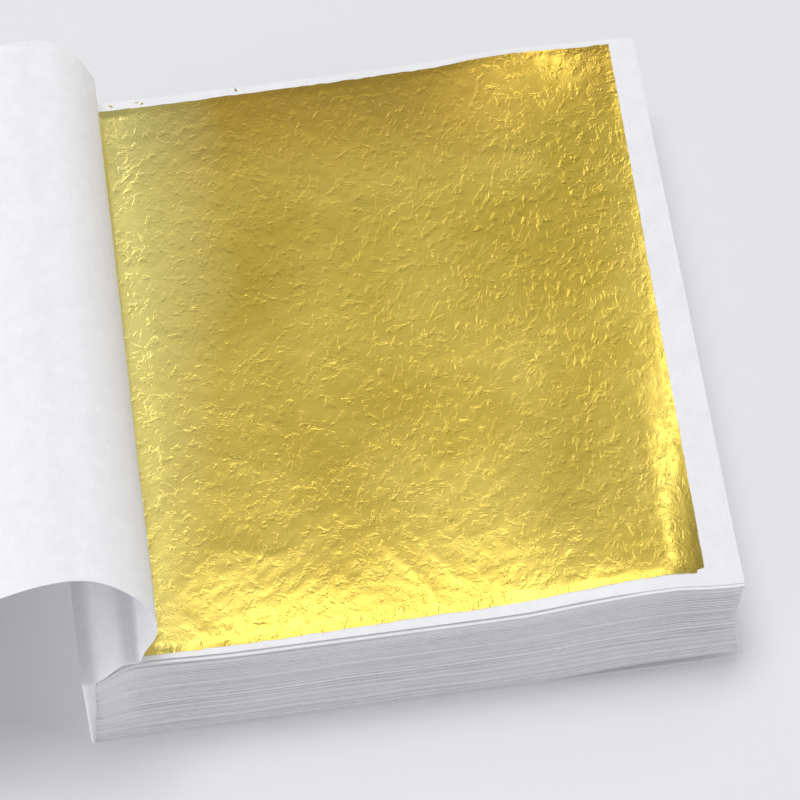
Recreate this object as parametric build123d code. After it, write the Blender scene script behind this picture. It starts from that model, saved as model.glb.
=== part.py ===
from build123d import *
import math
import os

# A bound booklet of tissue sheets with a leaf of gold-coloured foil on each page.
# Frame: x runs from the spine to the fore-edge, y along the spine from front to back, z up.
# The origin is on the table, at the middle of the page block's underside.

# Sheets, in millimetres
page_depth = 88.0  # from the spine to the fore-edge
page_length = 90.0  # along the spine
sheet_thickness = 0.12
leaf_depth = 78.0  # across the page, from the spine side to the fore-edge side
leaf_length = 87.0  # along the spine
leaf_thickness = 0.02
leaf_shift = 0.5  # how far the leaves lie towards the back of the page

# Stack: the spine is pressed and glued, the rest of the block is fluffed up
page_count = 100
section_size = 10
spine_gap = 0.04  # glue between two sheets at the spine
air_gap = 0.06  # air over a leaf, under the next sheet
fore_edge_bow = 0.8  # how far the fore-edge is hollowed at half height

# Spine
glue_thickness = 0.35  # film of padding glue over the sheets' bound edges
bound_width = 1.0  # strip of each sheet that is held flat by the glue
ramp_width = 6.0  # strip over which a sheet climbs from the pressed to the fluffed height

# Turned sheet: bound over the last page, then rolled back over the spine
turned_ramp_width = 5.0  # its climb is a little steeper, because it is pulled back
leaf_clearance = 0.1  # between its climb and the edge of the open leaf
crease_front = 7.7  # from the spine to the first crease, at the front edge
crease_back = 10.3  # the same at the back edge

# The roll is seven flat bands between creases. The bands' widths are shares of the sheet beyond
# the first crease, and each crease turns the sheet further up and back.
band_front_shares = (0.114, 0.107, 0.111, 0.104, 0.141, 0.201, 0.222)
band_back_shares = (0.055, 0.102, 0.086, 0.095, 0.162, 0.236, 0.264)
crease_angles = (67.0, 40.0, 25.0, 50.0, 20.0, 9.0, 9.0)

# Sections of pages, the uppermost of which lift one by one
lifting_section_count = 2
top_section = math.ceil(page_count / section_size)
lowest_lifting_section = top_section - lifting_section_count + 1

spine_pitch = sheet_thickness + spine_gap
edge_pitch = sheet_thickness + leaf_thickness + air_gap
spine_x = -page_depth / 2
front_y = -page_length / 2
leaf_start = spine_x + bound_width + turned_ramp_width + leaf_clearance
turned_level = page_count + 1


def spine_height(level):
    """Height of a sheet's underside where the glue holds it. The bottom sheet is level 0."""
    return level * spine_pitch


def edge_height(level):
    """Height of a sheet's underside beyond its climb."""
    return level * edge_pitch


def fore_edge_x(level):
    """End of a sheet at the fore-edge, which is hollowed between the first and last sheets."""
    share = level / turned_level
    return spine_x + page_depth - 4 * fore_edge_bow * share * (1 - share)


def strip(outline, length, middle_y):
    """A solid with one outline in the xz plane all along the spine direction."""
    face = make_face(Polyline(*[(x, 0, z) for x, z in outline], close=True))
    solid = extrude(face, amount=length / 2, dir=(0, 1, 0), both=True)
    return solid.moved(Location((0, middle_y, 0)))


def page(level):
    """One tissue sheet: glued flat at the spine, a climb, then flat to the fore-edge."""
    low, high, end_x = spine_height(level), edge_height(level), fore_edge_x(level)
    underside = [
        (spine_x, low),
        (spine_x + bound_width, low),
        (spine_x + bound_width + ramp_width, high),
        (end_x, high),
    ]
    top = [(x, z + sheet_thickness) for x, z in reversed(underside)]
    return strip(underside + top, page_length, 0)


def bound_leaf(level):
    """One leaf between two sheets, lying on the page of the given level."""
    climb_start = spine_x + bound_width
    climb_end = climb_start + ramp_width
    low = spine_height(level) + sheet_thickness
    high = edge_height(level) + sheet_thickness
    share = (leaf_start - climb_start) / ramp_width
    underside = [(climb_end, high), (leaf_start + leaf_depth, high)]
    if leaf_start < climb_end:
        underside.insert(0, (leaf_start, low + share * (high - low)))
    else:
        underside[0] = (leaf_start, high)
    top = [(x, z + leaf_thickness) for x, z in reversed(underside)]
    return strip(underside + top, leaf_length, leaf_shift)


def open_leaf():
    """The leaf on the open page. It lies flat, so it can be slid out over the fore-edge."""
    low = edge_height(page_count) + sheet_thickness
    high = low + leaf_thickness
    end_x = leaf_start + leaf_depth
    outline = [(leaf_start, low), (end_x, low), (end_x, high), (leaf_start, high)]
    return strip(outline, leaf_length, leaf_shift)


def glue_film(first_level, last_level):
    """The part of the spine's glue film that holds the sheets of the given levels."""
    low = spine_height(first_level) - (spine_gap / 2 if first_level else 0)
    gap_above = 0 if last_level == turned_level else spine_gap / 2
    high = spine_height(last_level) + sheet_thickness + gap_above
    outside_x = spine_x - glue_thickness
    outline = [(outside_x, low), (spine_x, low), (spine_x, high), (outside_x, high)]
    return strip(outline, page_length, 0)


def crease_ends(number):
    """Ends of a crease, on the upper face of the sheet laid flat. Number 1 is the crease at the
    foot of the roll, and the one after the last is the free edge."""
    z = edge_height(turned_level) + sheet_thickness
    front_share = sum(band_front_shares[: number - 1])
    back_share = sum(band_back_shares[: number - 1])
    front_x = crease_front + (page_depth - crease_front) * front_share
    back_x = crease_back + (page_depth - crease_back) * back_share
    return Vector(spine_x + front_x, front_y, z), Vector(spine_x + back_x, -front_y, z)


def crease_axis(number):
    """A crease of the flat sheet as an axis, from the front edge to the back edge."""
    front, back = crease_ends(number)
    return Axis(front, back - front)


def rolled(shape, number):
    """A shape carried from the flat sheet into the roll by turning it about each crease between
    it and the spine, the furthest one first. A band's number is that of its last crease."""
    for crease in range(number, 0, -1):
        shape = shape.rotate(crease_axis(crease), -crease_angles[crease - 1])
    return shape


def flat_piece(corners):
    """A flat piece of the turned sheet, hung down from its upper face."""
    face = make_face(Polyline(*corners, close=True))
    return extrude(face, amount=sheet_thickness, dir=(0, 0, -1))


def turned_root():
    """The turned sheet from the spine to its first crease."""
    low, high = spine_height(turned_level), edge_height(turned_level)
    climb_start = spine_x + bound_width
    climb_end = climb_start + turned_ramp_width
    underside = [(spine_x, low), (climb_start, low), (climb_end, high)]
    top = [(x, z + sheet_thickness) for x, z in reversed(underside)]
    climb = strip(underside + top, page_length, 0)
    front, back = crease_ends(1)
    near_front = Vector(climb_end, front.Y, front.Z)
    near_back = Vector(climb_end, back.Y, back.Z)
    return climb + flat_piece([near_front, front, back, near_back])


def turned_band(number):
    """One flat band of the roll, between two creases."""
    front, back = crease_ends(number)
    far_front, far_back = crease_ends(number + 1)
    return rolled(flat_piece([front, far_front, far_back, back]), number)


def section_levels(number):
    """Levels of the sheets in a section. Section 1 lies on the bottom sheet."""
    first = (number - 1) * section_size + 1
    return range(first, first + section_size)


def subparts():
    """Every node of the booklet, as its name and its solids."""
    yield "bottom_sheet", [page(0)]
    for number in range(1, top_section + 1):
        closed = [level for level in section_levels(number) if level < page_count]
        yield f"page_section_{number:02d}", [page(level) for level in closed]
        yield f"leaf_section_{number:02d}", [bound_leaf(level) for level in closed]
    yield "open_page", [page(page_count)]
    yield "open_leaf", [open_leaf()]
    first_upper = section_levels(lowest_lifting_section)[0]
    first_top = section_levels(top_section)[0]
    yield "spine_glue_lower", [glue_film(0, first_upper - 1)]
    yield "spine_glue_upper", [glue_film(first_upper, first_top - 1)]
    yield "spine_glue_top", [glue_film(first_top, turned_level)]
    yield "turned_sheet_root", [turned_root()]
    for number in range(1, len(crease_angles) + 1):
        yield f"turned_sheet_band_{number:02d}", [turned_band(number)]


os.makedirs("parts", exist_ok=True)
for name, solids in subparts():
    whole = solids[0] if len(solids) == 1 else Compound(children=solids)
    export_step(whole, f"parts/{name}.step")
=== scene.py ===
import logging
import math
from dataclasses import dataclass, field
from enum import Enum

import bpy
import numpy as np
from mathutils import Matrix, Vector


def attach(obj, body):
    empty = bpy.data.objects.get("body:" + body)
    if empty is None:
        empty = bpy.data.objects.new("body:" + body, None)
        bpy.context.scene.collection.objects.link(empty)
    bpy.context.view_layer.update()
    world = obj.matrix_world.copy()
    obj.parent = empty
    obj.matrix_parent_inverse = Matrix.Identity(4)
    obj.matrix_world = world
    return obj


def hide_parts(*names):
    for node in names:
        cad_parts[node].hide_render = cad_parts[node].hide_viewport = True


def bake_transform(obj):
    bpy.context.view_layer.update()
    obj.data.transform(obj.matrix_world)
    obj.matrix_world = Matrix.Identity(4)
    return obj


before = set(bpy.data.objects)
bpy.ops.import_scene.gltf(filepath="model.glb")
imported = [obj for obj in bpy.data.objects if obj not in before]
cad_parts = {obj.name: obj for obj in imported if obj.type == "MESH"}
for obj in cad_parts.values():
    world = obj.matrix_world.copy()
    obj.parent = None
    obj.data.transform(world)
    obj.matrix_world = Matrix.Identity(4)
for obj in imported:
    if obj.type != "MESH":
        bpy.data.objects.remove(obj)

# The looks of a booklet of tissue sheets with a leaf of gold-coloured foil on each page.
# Frame: x runs from the spine to the fore-edge, y along the spine from front to back, z up.
# Fields are in millimetres and degrees where they name no other unit. A place on the page is its
# distance across it from the spine and its distance along the spine from the front edge. A field
# whose name ends in ramp holds where a ramp starts and how wide it is. MM turns millimetres into
# metres, and TONES is the range that most of a noise texture's values lie in.

MM = 0.001
TONES = (0.35, 0.65)
Colour = tuple[float, float, float]
Pair = tuple[float, float]
log = logging.getLogger("booklet")


class Slot(Enum):
    """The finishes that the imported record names."""

    TISSUE = "tissue"
    LEAF = "leaf"
    GLUE = "glue"


class Rider(Enum):
    """The bodies that a piece can ride on, apart from the bands of the turned sheet."""

    LOWER = "page_block"
    UPPER = "upper_pages"
    TOP = "top_pages"
    LEAF = "open_leaf"


def eased(share: np.ndarray) -> np.ndarray:
    """A smooth step from 0 to 1.

    Args:
        share: Values, of which those outside 0 to 1 are held at the ends.

    Returns:
        The eased values.
    """
    held = np.clip(share, 0.0, 1.0)
    return held * held * (3.0 - 2.0 * held)


def ramp(place: np.ndarray, start: float, width: float) -> np.ndarray:
    """A smooth step from 0 at its start to 1 at its end.

    Args:
        place: Where it is read.
        start: Where it starts.
        width: How wide it is.

    Returns:
        The values there.
    """
    return eased((place - start) / width)


def bell(place: np.ndarray, middle: float, reach: float) -> np.ndarray:
    """A smooth hump of height 1.

    Args:
        place: Where it is read.
        middle: Where it is highest.
        reach: How far from there it has mostly faded.

    Returns:
        The values there.
    """
    return np.exp(-(((place - middle) / reach) ** 2))


def fading(distance: np.ndarray, reach: float) -> np.ndarray:
    """A value of 1 at an edge, which fades away from it.

    Args:
        distance: How far from the edge it is read.
        reach: Where it reaches 0.

    Returns:
        The values there.
    """
    return np.clip(1 - distance / reach, 0, 1) ** 2


def between(lattice: np.ndarray, row: np.ndarray, column: np.ndarray) -> np.ndarray:
    """Read a lattice of values smoothly between its points. Beyond its end it begins again.

    Args:
        lattice: The values at its points.
        row: Where it is read, in rows and parts of a row.
        column: The same in columns.

    Returns:
        The values there.
    """
    i, j = np.floor(row).astype(int), np.floor(column).astype(int)
    p, q = eased(row - i), eased(column - j)
    rows, columns = lattice.shape
    i, k, j, m = i % rows, (i + 1) % rows, j % columns, (j + 1) % columns
    low = lattice[i, j] * (1 - p) + lattice[k, j] * p
    high = lattice[i, m] * (1 - p) + lattice[k, m] * p
    return low * (1 - q) + high * q


@dataclass
class SoftNoise:
    """Smooth random values over the page, between -1 and 1, the same on every run."""

    seed: int
    cell: float
    stretch: float = 1.0
    turn: float = 0.0
    cells: int = 64

    def __post_init__(self) -> None:
        """Draw the values at the corners of the cells."""
        rng = np.random.default_rng(self.seed)
        self.values = rng.uniform(-1.0, 1.0, (self.cells, self.cells))

    def at(self, across: np.ndarray, along: np.ndarray) -> np.ndarray:
        """Read the noise.

        Args:
            across: Distances from the spine.
            along: Distances from the front edge.

        Returns:
            The values there.
        """
        angle = math.radians(self.turn)
        u = (across * math.cos(angle) + along * math.sin(angle)) / (self.cell * self.stretch)
        v = (along * math.cos(angle) - across * math.sin(angle)) / self.cell
        return between(self.values, u, v)

    def ridged(self, across: np.ndarray, along: np.ndarray) -> np.ndarray:
        """Read the noise folded into creases, from 0 to 1.

        Args:
            across: Distances from the spine.
            along: Distances from the front edge.

        Returns:
            The values there, with a sharp ridge along each crease.
        """
        return 1.0 - np.abs(self.at(across, along))


@dataclass
class Slabs:
    """A mesh in the making, of closed thin slabs, each between an upper and a lower grid."""

    points: list[np.ndarray] = field(default_factory=list)
    faces: list[np.ndarray] = field(default_factory=list)
    smooth: list[np.ndarray] = field(default_factory=list)
    normals: list[np.ndarray] = field(default_factory=list)
    count: int = 0

    def add(self, upper: np.ndarray, lower: np.ndarray) -> None:
        """Add one slab.

        Args:
            upper: Points of the upper face, as rows across by columns along by 3, in millimetres.
            lower: Points of the lower face, in the same order.
        """
        rows, columns = upper.shape[:2]
        index = np.arange(rows * columns).reshape(rows, columns)
        top = np.stack(
            [index[:-1, :-1], index[1:, :-1], index[1:, 1:], index[:-1, 1:]], axis=-1
        ).reshape(-1, 4)
        bottom = top[:, ::-1] + rows * columns
        rim = np.concatenate(
            [index[:-1, 0], index[-1, :-1], index[:0:-1, -1], index[0, :0:-1]]
        )
        after = np.roll(rim, -1)
        wall = np.stack([rim, rim + rows * columns, after + rows * columns, after], axis=-1)
        faces = np.concatenate([top, bottom, wall]) + self.count
        self.points.append(np.concatenate([upper.reshape(-1, 3), lower.reshape(-1, 3)]))
        self.faces.append(faces)
        self.smooth.append(np.arange(len(faces)) < 2 * len(top))
        self.count += 2 * rows * columns

    def add_normals(self, upward: np.ndarray) -> None:
        """Give the slab that was added last its own normals, so that pieces meet smoothly.

        Args:
            upward: The upper face's normals, in the order of its points.
        """
        flat = upward.reshape(-1, 3)
        self.normals.append(np.concatenate([flat, -flat]))

    def build(self, name: str) -> bpy.types.Object:
        """Make the object.

        Args:
            name: Its name.

        Returns:
            The object, linked to the scene.
        """
        mesh = bpy.data.meshes.new(name)
        points = np.concatenate(self.points) * MM
        faces = np.concatenate(self.faces)
        mesh.from_pydata(points.tolist(), [], faces.tolist())
        smooth = np.concatenate(self.smooth)
        mesh.polygons.foreach_set("use_smooth", smooth)
        mesh.update()
        on_rim = np.zeros(len(points), bool)
        on_rim[faces[~smooth].reshape(-1)] = True
        ends = np.zeros(len(mesh.edges) * 2, np.int32)
        mesh.edges.foreach_get("vertices", ends)
        sharp = on_rim[ends.reshape(-1, 2)].all(axis=1)
        mesh.attributes.new("sharp_edge", "BOOLEAN", "EDGE").data.foreach_set("value", sharp)
        if self.normals:
            vertex_normals = np.concatenate(self.normals)
            loop_normals = vertex_normals[faces.reshape(-1)]
            face_normals = np.zeros(len(faces) * 3)
            mesh.polygons.foreach_get("normal", face_normals)
            walls = np.repeat(~smooth, 4)
            loop_normals[walls] = np.repeat(face_normals.reshape(-1, 3), 4, axis=0)[walls]
            mesh.normals_split_custom_set(loop_normals.tolist())
        thing = bpy.data.objects.new(name, mesh)
        bpy.context.scene.collection.objects.link(thing)
        return thing


def dress(
    thing: bpy.types.Object, material: bpy.types.Material, slot: Slot, *nodes: str
) -> None:
    """Give a piece its material and say what it stands for.

    Args:
        thing: The piece.
        material: Its material.
        slot: The record's finish. It is not used.
        nodes: The model's nodes that it replaces.
    """
    thing.data.materials.append(material)
    if nodes:
        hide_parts(*nodes)
    log.info("%s: %d faces, stands for %s", thing.name, len(thing.data.polygons), nodes)


@dataclass
class Block:
    """Where each sheet of the block lies. The bottom sheet is level 0."""

    page_depth: float = 88.0
    page_length: float = 90.0
    spine_pitch: float = 0.16
    edge_pitch: float = 0.20
    bound_width: float = 1.0
    ramp_width: float = 6.0
    fore_edge_bow: float = 0.8
    open_level: int = 100
    turned_level: int = 101
    paper: float = 0.1

    # The turned sheet's first crease, at the front edge and at the back edge
    crease_front: float = 7.7
    crease_back: float = 10.3

    # The gaps between sheets, as shares of an even gap, vary from cell to cell of a lattice
    seed: int = 7
    lattice_cell: float = 8.0
    spare_cells: int = 3
    least_gap: float = 0.74
    gap_spread: float = 0.45
    wide_share: float = 0.16
    wide_patches: Pair = (-0.4, 1.0)
    wide_gap: float = 1.1
    top_gap: float = 0.9

    # Gaps that open at the front rim: which one from the top, and the cell where it closes
    rim_gaps: tuple[tuple[int, int], ...] = ((2, 10), (5, 6))
    rim_gap: float = 1.3
    rim_cells: int = 2

    # The sheets' edges aren't quite flush, and the open page is set back at the front
    shift_spread: float = 0.05
    most_shift: float = 0.11
    skew_spread: float = 0.04
    open_page_set_back: float = 0.35

    # The top dips along its front and back edges and swells near their right ends
    dip_ramp: Pair = (8.0, 14.0)
    dip_end_ramp: Pair = (58.0, 22.0)
    dip_end_share: float = 0.8
    front_fall: float = 0.66
    front_reach: float = 15.0
    front_swell: float = 1.25
    swell_ramp: Pair = (56.0, 15.0)
    swell_end_ramp: Pair = (78.0, 8.0)
    swell_reach: float = 24.0
    back_fall: float = 0.3
    back_reach: float = 16.0
    back_swell: float = 0.6
    back_swell_middle: float = 69.0
    back_swell_reach: float = 9.0

    # The lowest sheets stand off the bottom sheet at the front right corner
    corner_lift: float = 1.45
    corner_ramp: Pair = (58.0, 18.0)
    corner_reach: float = 26.0
    corner_fade: float = 1.03

    # The uppermost sheets droop at the very rim of the front edge
    rim_droop: float = 0.4
    rim_width: float = 2.3
    rim_levels: int = 12
    rim_ramp: Pair = (8.0, 6.0)

    def __post_init__(self) -> None:
        """Share the height out among the levels, with gaps that widen and close."""
        rng = np.random.default_rng(self.seed)
        longest = max(self.page_depth, self.page_length)
        cells = int(longest / self.lattice_cell) + self.spare_cells
        shape = (self.turned_level, cells, cells)
        gaps = self.least_gap + self.gap_spread * rng.random(shape) ** 2
        wide = rng.random(self.turned_level) < self.wide_share
        patches = np.clip(rng.uniform(*self.wide_patches, shape), 0, 1)
        gaps += wide[:, None, None] * patches * self.wide_gap
        gaps[-1] = self.top_gap
        for gap, end in self.rim_gaps:
            gaps[-gap, 1:end, : self.rim_cells] += self.rim_gap
        heights = np.concatenate([np.zeros((1, cells, cells)), np.cumsum(gaps, axis=0)])
        self.shares = heights / heights[-1]
        sheets = self.turned_level + 1
        drawn = [rng.normal(0, self.shift_spread, sheets) for _ in range(3)]
        shifts = np.clip(drawn, -self.most_shift, self.most_shift)
        self.front_shift, self.back_shift, self.fore_shift = shifts
        self.front_shift[self.open_level] = self.open_page_set_back
        self.skew = rng.normal(0, self.skew_spread, sheets)

    def place(self, across: np.ndarray, along: np.ndarray, height: np.ndarray) -> np.ndarray:
        """Turn places on the page into points of the frame.

        Args:
            across: Distances from the spine.
            along: Distances from the front edge.
            height: Heights over the table.

        Returns:
            Points in millimetres.
        """
        x = across - self.page_depth / 2
        y = along - self.page_length / 2
        return np.stack(np.broadcast_arrays(x, y, height), axis=-1)

    def top_swell(self, across: np.ndarray, along: np.ndarray) -> np.ndarray:
        """How far the top of the block stands over its even height.

        Args:
            across: Distances from the spine.
            along: Distances from the front edge.

        Returns:
            Heights, below 0 where it dips.
        """
        dip = ramp(across, *self.dip_ramp)
        dip = dip * (1 - self.dip_end_share * ramp(across, *self.dip_end_ramp))
        swell = ramp(across, *self.swell_ramp) * (1 - ramp(across, *self.swell_end_ramp))
        swell = swell * bell(along, 0.0, self.swell_reach)
        raised = bell(across, self.back_swell_middle, self.back_swell_reach)
        back = fading(self.page_length - along, self.back_reach)
        front = self.front_swell * swell
        front = front - self.front_fall * (fading(along, self.front_reach) * dip)
        fall = self.back_fall * back * (dip - raised)
        return front - fall + self.back_swell * back * raised

    def lift(self, across: np.ndarray, along: np.ndarray) -> np.ndarray:
        """How far the lowest loose sheets stand off the bottom sheet at the front corner.

        Args:
            across: Distances from the spine.
            along: Distances from the front edge.

        Returns:
            Heights.
        """
        raised = self.corner_lift * ramp(across, *self.corner_ramp)
        return raised * bell(along, 0.0, self.corner_reach)

    def underside(self, level: int, across: np.ndarray, along: np.ndarray) -> np.ndarray:
        """Height of a sheet's underside.

        Args:
            level: The sheet.
            across: Distances from the spine.
            along: Distances from the front edge.

        Returns:
            Heights over the table.
        """
        if level == 0:
            return np.zeros(np.broadcast_shapes(np.shape(across), np.shape(along)))
        cell = self.lattice_cell
        share = between(self.shares[level], across / cell + 0.5, along / cell + 0.5)
        even = self.edge_pitch * self.turned_level
        loose = share * (even + self.top_swell(across, along))
        lifted = np.maximum(1 - self.corner_fade * share, 0)
        loose = loose + lifted * self.lift(across, along)
        climb = ramp(across, self.bound_width, self.ramp_width)
        bent = max(0, level - self.turned_level + self.rim_levels) / self.rim_levels
        droop = self.rim_droop * bent * fading(along, self.rim_width)
        droop = droop * ramp(across, *self.rim_ramp)
        return self.spine_pitch * level * (1 - climb) + loose * climb - droop

    def fore_edge(self, level: int, along: np.ndarray) -> np.ndarray:
        """Where a sheet ends at the fore-edge, which is hollowed halfway up.

        Args:
            level: The sheet.
            along: Distances from the front edge.

        Returns:
            Distances from the spine.
        """
        share = level / self.turned_level
        hollow = 4 * self.fore_edge_bow * share * (1 - share)
        middle = along / self.page_length - 0.5
        return self.page_depth - hollow + self.fore_shift[level] + self.skew[level] * middle


@dataclass
class PageStack:
    """The bottom sheet, the sections of pages and the open page."""

    block: Block
    section_size: int = 10
    section_count: int = 10
    first_upper_section: int = 9
    open_page_skew: float = 1.1
    climb_stations: tuple[float, ...] = (0.0, 1.0, 2.2, 3.4, 4.6, 5.8, 7.0)
    rim_stations: tuple[float, ...] = (0.0, 0.6, 1.3, 2.3)
    spacing: float = 4.0
    last_across: float = 86.0

    def stations(self) -> tuple[np.ndarray, np.ndarray]:
        """Where the sheets have points.

        Returns:
            Distances across the page, without the fore-edge, and distances along it.
        """
        step, length = self.spacing, self.block.page_length
        across = np.arange(self.climb_stations[-1] + step, self.last_across, step)
        across = np.concatenate([self.climb_stations, across, [self.last_across]])
        along = np.concatenate([self.rim_stations, np.arange(step, length, step), [length]])
        return across, along

    def add_sheet(self, slabs: Slabs, level: int, short_by: float) -> None:
        """Add one sheet to a mesh.

        Args:
            slabs: The mesh.
            level: The sheet.
            short_by: How much less deep the sheet is at its back corner.
        """
        block = self.block
        across, along = self.stations()
        along[0] += block.front_shift[level]
        along[-1] += block.back_shift[level]
        end = block.fore_edge(level, along) - short_by * along / block.page_length
        grid_across = np.tile(across[:, None], (1, len(along)))
        grid_across = np.concatenate([grid_across, end[None, :]])
        grid_along = np.tile(along, (len(grid_across), 1))
        low = block.underside(level, grid_across, grid_along)
        upper = block.place(grid_across, grid_along, low + block.paper)
        slabs.add(upper, block.place(grid_across, grid_along, low))

    def rider(self, section: int) -> Rider:
        """The body that carries a section of pages or of leaves.

        Args:
            section: Its number, from 1 at the bottom.

        Returns:
            The body.
        """
        if section < self.first_upper_section:
            return Rider.LOWER
        return Rider.UPPER if section == self.first_upper_section else Rider.TOP

    def levels(self, section: int) -> list[int]:
        """The sheets of a section that have a leaf between them and the next sheet.

        Args:
            section: Its number, from 1 at the bottom.

        Returns:
            Their levels.
        """
        first = (section - 1) * self.section_size + 1
        after = min(first + self.section_size, self.block.open_level)
        return list(range(first, after))

    def add_pages(
        self,
        node: str,
        levels: list[int],
        rider: Rider,
        tissue: bpy.types.Material,
        short_by: float = 0.0,
    ) -> None:
        """Build one sheet or one section of sheets.

        Args:
            node: The model's node that it stands for.
            levels: Its sheets.
            rider: The body that carries it.
            tissue: Its material.
            short_by: How much less deep a sheet is at its back corner.
        """
        slabs = Slabs()
        for level in levels:
            self.add_sheet(slabs, level, short_by)
        pages = slabs.build(f"{node}_paper")
        dress(pages, tissue, Slot.TISSUE, node)
        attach(pages, rider.value)

    def build(self, tissue: bpy.types.Material) -> None:
        """Build every sheet of the block.

        Args:
            tissue: Their material.
        """
        self.add_pages("bottom_sheet", [0], Rider.LOWER, tissue)
        for section in range(1, self.section_count + 1):
            node = f"page_section_{section:02d}"
            self.add_pages(node, self.levels(section), self.rider(section), tissue)
        level = self.block.open_level
        self.add_pages("open_page", [level], Rider.TOP, tissue, self.open_page_skew)


@dataclass
class BoundLeaves:
    """The leaves between the pages."""

    pages: PageStack
    start: float = 6.1
    depth: float = 78.0
    front: float = 2.0
    length: float = 87.0
    foil: float = 0.012
    lay: float = 0.004

    def trimmed(self, stations: np.ndarray, start: float, end: float) -> np.ndarray:
        """Trim a row of stations to the leaf.

        Args:
            stations: The pages' stations.
            start: Where the leaf starts.
            end: Where it ends.

        Returns:
            The stations between its edges, and the edges.
        """
        inner = stations[(stations > start) & (stations < end)]
        return np.concatenate([[start], inner, [end]])

    def build(self, foil: bpy.types.Material) -> None:
        """Build the leaves of every section.

        Args:
            foil: Their material.
        """
        block = self.pages.block
        across, along = self.pages.stations()
        across = self.trimmed(across, self.start, self.start + self.depth)
        along = self.trimmed(along, self.front, self.front + self.length)
        grid_across, grid_along = np.meshgrid(across, along, indexing="ij")
        for section in range(1, self.pages.section_count + 1):
            slabs = Slabs()
            for level in self.pages.levels(section):
                low = block.underside(level, grid_across, grid_along) + block.paper + self.lay
                upper = block.place(grid_across, grid_along, low + self.foil)
                slabs.add(upper, block.place(grid_across, grid_along, low))
            leaves = slabs.build(f"leaf_section_{section:02d}_foil")
            dress(leaves, foil, Slot.LEAF, f"leaf_section_{section:02d}")
            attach(leaves, self.pages.rider(section).value)


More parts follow.
